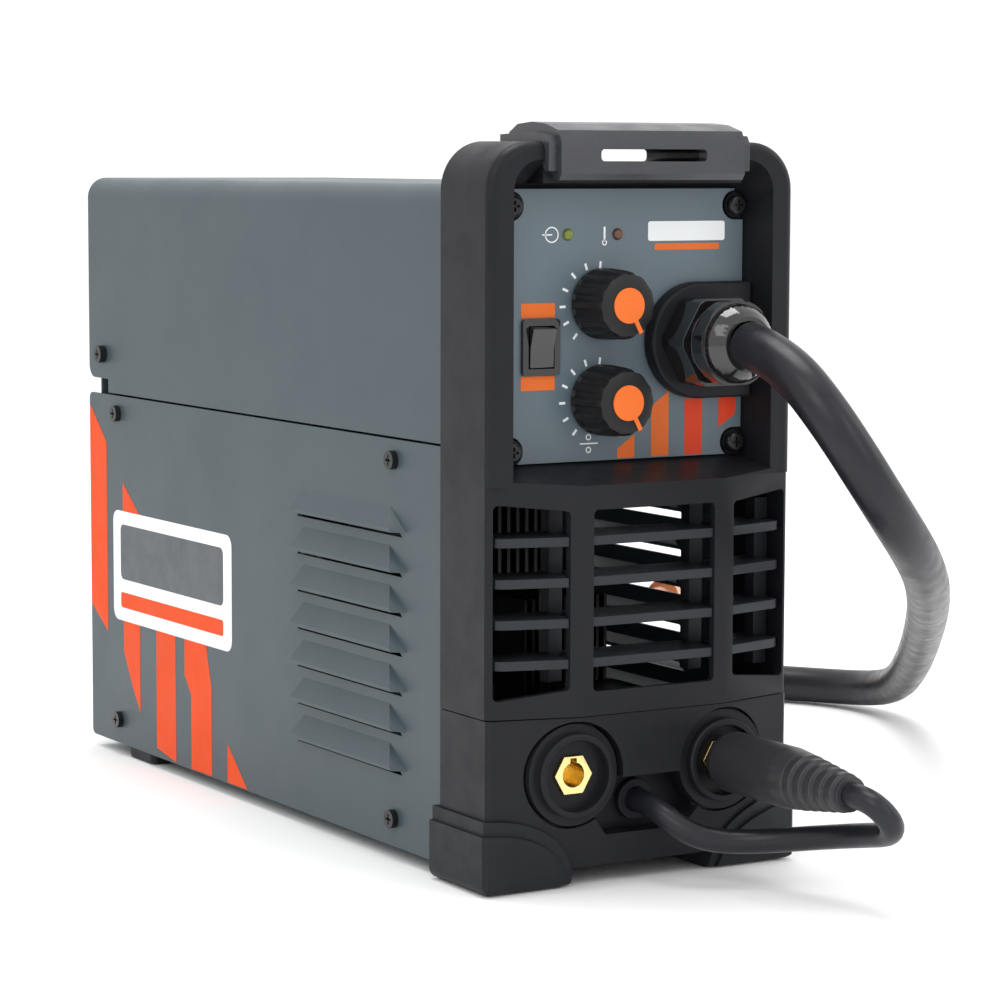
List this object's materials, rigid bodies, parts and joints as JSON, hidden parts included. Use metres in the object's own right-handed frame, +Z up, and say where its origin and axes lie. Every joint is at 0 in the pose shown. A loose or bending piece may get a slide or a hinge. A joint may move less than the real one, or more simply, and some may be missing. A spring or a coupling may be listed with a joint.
{
  "type": "mig welding machine",
  "caption": "Compact portable inverter MIG welder with a flip-up lid over the wire drive, control knobs, two output sockets, a polarity lead and a coiled torch",
  "frame": {"origin": "centre of the machine's footprint on the floor, without the torch and the lead", "axes": "+X across the machine, to the right as its controls are faced, controls towards -Y, length along Y, +Z up"},
  "size_m": [0.4184, 0.7448, 0.285],
  "materials": {
    "casing": "satin blue-grey powder coat",
    "frame_plastic": "fine textured black moulding",
    "slat_plastic": "smooth dark moulding",
    "panel_print": "printed grey overlay on a metal plate",
    "black_screw": "black oxide",
    "knob_plastic": "ribbed black",
    "orange_plastic": "plain orange",
    "gloss_black": "polished black",
    "led_green": "tinted lens",
    "led_amber": "tinted lens",
    "brass": "machined",
    "rubber": "matt black",
    "cable": "extruded sheath",
    "zinc": "zinc plated sheet",
    "spool_plastic": "moulded",
    "wire_metal": "copper washed wire",
    "machined": "turned",
    "aluminium": "extruded and cast",
    "board": "solder mask",
    "component": "potted parts",
    "copper": "plated copper"
  },
  "bodies": {
    "machine": {"lid_pivot_screws": "black_screw", "base_pan": "casing", "rear_feet": "rubber", "lower_panel_left": "casing", "lower_panel_right": "casing", "side_screws": "black_screw", "rear_panel": "casing", "mains_gland": "gloss_black", "deck_plate": "zinc", "front_bezel": "frame_plastic", "grille_slats": "slat_plastic", "socket_panel": "frame_plastic", "front_boot_left": "rubber", "front_boot_right": "rubber", "strap_bracket": "frame_plastic", "control_panel": "panel_print", "panel_screws": "black_screw", "mode_switch_housing": "gloss_black", "power_switch_housing": "gloss_black", "led_power": "led_green", "led_thermal": "led_amber", "potentiometers": "component", "torch_pod": "frame_plastic", "torch_gland_body": "gloss_black", "torch_gland_nut": "gloss_black", "socket_rings": "frame_plastic", "socket_contacts": "brass", "cable_grommet": "rubber", "polarity_lead": "cable", "plug_body": "rubber", "plug_pin": "brass", "partition_plate": "zinc", "spool_spindle": "spool_plastic", "feed_bracket": "aluminium", "wire_guides": "brass", "feed_motor": "component", "main_board": "board", "heat_sinks": "aluminium", "power_components": "component", "fan_frame": "frame_plastic", "torch_cable": "cable", "torch_cable_coil": "cable", "torch_handle": "frame_plastic", "torch_neck": "copper", "torch_nozzle": "copper"},
    "lid": {"lid": "casing"},
    "knob_amps": {"knob_amps": "knob_plastic", "knob_amps_cap": "orange_plastic"},
    "knob_wire": {"knob_wire": "knob_plastic", "knob_wire_cap": "orange_plastic"},
    "mode_rocker": {"mode_rocker": "gloss_black"},
    "power_rocker": {"power_rocker": "gloss_black"},
    "spool": {"wire_spool": "spool_plastic", "wire_winding": "wire_metal"},
    "drive_roll": {"drive_roll": "machined"},
    "pressure_arm": {"pressure_arm": "aluminium"},
    "pressure_roll": {"pressure_roll": "machined"},
    "tension_knob": {"tension_knob": "knob_plastic"},
    "fan_rotor": {"fan_rotor": "frame_plastic"},
    "torch_trigger": {"torch_trigger": "orange_plastic"}
  },
  "joints": [
    {"name": "lid_hinge", "type": "hinge", "parent": "machine", "child": "lid", "pos_m": [0, 0.17375, 0.1821], "axis": [-1, 0, 0], "range_deg": [0, 75]},
    {"name": "knob_amps_turn", "type": "hinge", "parent": "machine", "child": "knob_amps", "pos_m": [-0.0108, -0.17075, 0.2174], "axis": [0, 1, 0], "range_deg": [-270, 0]},
    {"name": "knob_wire_turn", "type": "hinge", "parent": "machine", "child": "knob_wire", "pos_m": [-0.0108, -0.17075, 0.1813], "axis": [0, 1, 0], "range_deg": [-270, 0]},
    {"name": "mode_rocker_tilt", "type": "hinge", "parent": "machine", "child": "mode_rocker", "pos_m": [-0.0373, -0.16225, 0.2017], "axis": [-1, 0, 0], "range_deg": [0, 20]},
    {"name": "power_rocker_tilt", "type": "hinge", "parent": "machine", "child": "power_rocker", "pos_m": [0.03, 0.18175, 0.134], "axis": [1, 0, 0], "range_deg": [0, 20]},
    {"name": "spool_spin", "type": "hinge", "parent": "machine", "child": "spool", "pos_m": [0.031, 0.09925, 0.203], "axis": [1, 0, 0], "continuous": true},
    {"name": "drive_roll_spin", "type": "hinge", "parent": "machine", "child": "drive_roll", "pos_m": [0.031, -0.01575, 0.1874], "axis": [1, 0, 0], "continuous": true},
    {"name": "pressure_arm_swing", "type": "hinge", "parent": "machine", "child": "pressure_arm", "pos_m": [0.041, 0.01025, 0.22], "axis": [-1, 0, 0], "range_deg": [0, 35]},
    {"name": "pressure_roll_spin", "type": "hinge", "parent": "pressure_arm", "child": "pressure_roll", "pos_m": [0.031, -0.01575, 0.2142], "axis": [1, 0, 0], "continuous": true},
    {"name": "tension_knob_turn", "type": "hinge", "parent": "pressure_arm", "child": "tension_knob", "pos_m": [0.0411, -0.02575, 0.23], "axis": [0, 0, 1], "range_deg": [-180, 180]},
    {"name": "fan_spin", "type": "hinge", "parent": "machine", "child": "fan_rotor", "pos_m": [0, 0.16425, 0.077], "axis": [0, 1, 0], "continuous": true},
    {"name": "torch_trigger_squeeze", "type": "slide", "parent": "machine", "child": "torch_trigger", "axis": [0, -1, 0], "range_m": [0, 0.003], "stiffness_N_per_m": 300, "springref_m": -0.001}
  ],
  "couplings": [
    {"joint": "drive_roll_spin", "follows": "spool_spin", "ratio": 2.9333},
    {"joint": "pressure_roll_spin", "follows": "spool_spin", "ratio": -4}
  ]
}
